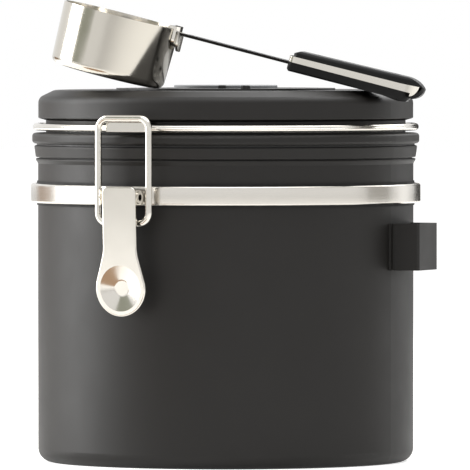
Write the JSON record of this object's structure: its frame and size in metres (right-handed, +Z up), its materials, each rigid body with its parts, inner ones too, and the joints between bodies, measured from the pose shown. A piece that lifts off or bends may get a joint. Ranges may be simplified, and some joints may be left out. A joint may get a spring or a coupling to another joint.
{
  "type": "coffee canister",
  "caption": "Squat airtight coffee canister with a hinged lid, toggle latch, date dial, gas valve, side strap and a steel scoop lying on the lid.",
  "frame": {"origin": "centre of the can's base, on the surface it stands on", "axes": "+Z up along the can, the latch faces -Y, the lid's hinge is at +Y, the side strap is near +X"},
  "size_m": [0.1396, 0.1393, 0.1508],
  "materials": {
    "black_coat": "satin powder coat",
    "polished_steel": "bright polished stainless",
    "black_plastic": "matte",
    "grey_plastic": "satin",
    "silicone": "soft matte",
    "filter_felt": "felt"
  },
  "bodies": {
    "can": {"can_shell": "black_coat", "neck_band": "polished_steel", "band_liner": "silicone", "latch_bracket": "polished_steel", "latch_pivot_pin": "polished_steel", "rear_hinge_bracket": "polished_steel", "hinge_pin": "polished_steel", "band_rivets": "polished_steel", "scoop_loop": "black_coat"},
    "lid": {"lid_shell": "black_coat", "lid_inner_pan": "black_plastic", "lid_gasket": "silicone", "lid_ring": "polished_steel", "catch_plate": "polished_steel", "hinge_leaf": "polished_steel", "valve_body": "grey_plastic", "valve_cap": "grey_plastic", "valve_filter": "filter_felt"},
    "day_dial": {"day_dial": "black_plastic"},
    "month_dial": {"month_dial": "black_plastic"},
    "valve_flap": {"valve_flap": "silicone"},
    "lever": {"latch_lever": "polished_steel", "bail_keeper": "polished_steel"},
    "bail": {"bail_wire": "polished_steel"},
    "scoop": {"scoop_cup": "polished_steel", "scoop_bracket": "polished_steel", "scoop_strip": "polished_steel", "grip_frame": "polished_steel", "grip_top_pad": "black_plastic", "grip_bottom_pad": "black_plastic", "grip_rivets": "polished_steel"}
  },
  "joints": [
    {"name": "lid_hinge", "type": "hinge", "parent": "can", "child": "lid", "pos_m": [0, 0.0667, 0.0986], "axis": [-1, 0, 0], "range_deg": [0, 110]},
    {"name": "lever_swing", "type": "hinge", "parent": "can", "child": "lever", "pos_m": [0, -0.0675, 0.0874], "axis": [-1, 0, 0], "range_deg": [0, 90]},
    {"name": "bail_swing", "type": "hinge", "parent": "lever", "child": "bail", "pos_m": [0, -0.0668, 0.0791], "axis": [-1, 0, 0], "range_deg": [-120, 0]},
    {"name": "day_dial_spin", "type": "hinge", "parent": "lid", "child": "day_dial", "pos_m": [0, 0, 0.121], "axis": [0, 0, 1], "range_deg": [-38, 282]},
    {"name": "month_dial_spin", "type": "hinge", "parent": "lid", "child": "month_dial", "pos_m": [0, 0, 0.121], "axis": [0, 0, 1], "continuous": true},
    {"name": "valve_lift", "type": "slide", "parent": "lid", "child": "valve_flap", "axis": [0, 0, 1], "range_m": [0, 0.00025]},
    {"name": "scoop_lift", "type": "slide", "parent": "lid", "child": "scoop", "axis": [0, 0, 1], "range_m": [0, 0.12]}
  ],
  "couplings": [
    {"joint": "bail_swing", "follows": "lever_swing", "ratio": -1.3}
  ]
}
